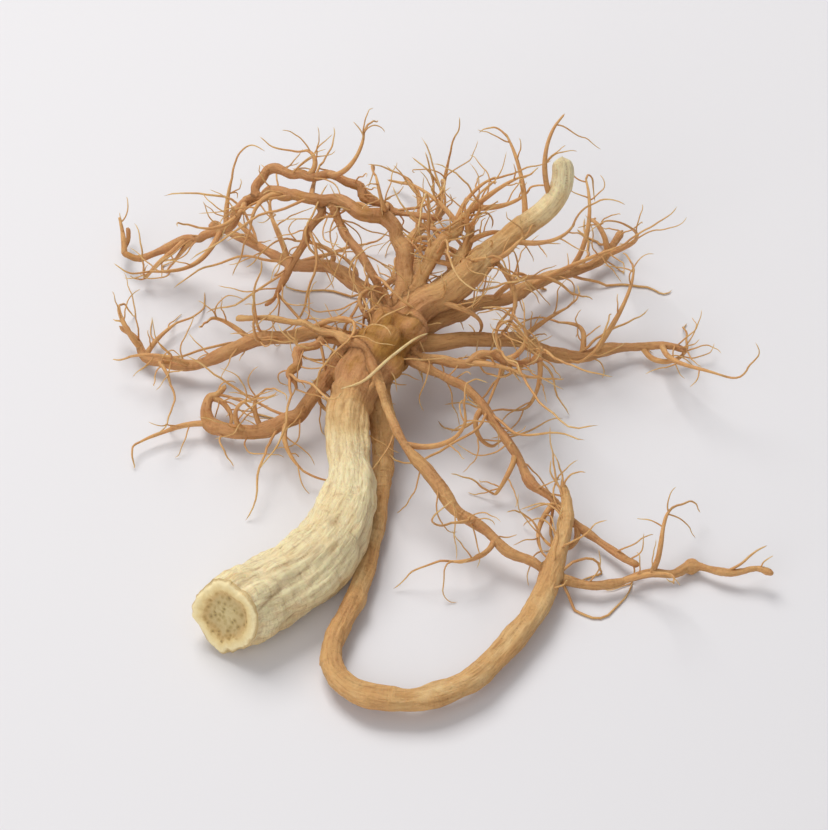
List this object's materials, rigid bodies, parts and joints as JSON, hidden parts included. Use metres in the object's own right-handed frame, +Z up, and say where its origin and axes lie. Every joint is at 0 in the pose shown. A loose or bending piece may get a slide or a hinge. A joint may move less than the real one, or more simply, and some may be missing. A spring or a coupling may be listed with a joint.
{
  "type": "dried ginseng root",
  "caption": "Dried ginseng root lying on its side: a stout body with a slanting cut end, a knobby crown, curving branches, long threads and fine rootlets.",
  "frame": {"origin": "the middle of the flat spot under the stout body, on the surface that the root lies on", "axes": "+Z up from the surface; +Y from the cut end of the body towards the far side of the crown; +X to the right of that"},
  "size_m": [0.0481, 0.0524, 0.0158],
  "materials": {
    "root_skin": "dry matt skin, cream on the body to reddish tan on the threads, with fine folds along it"
  },
  "bodies": {
    "root": {"ginseng_root": "root_skin"}
  },
  "joints": []
}
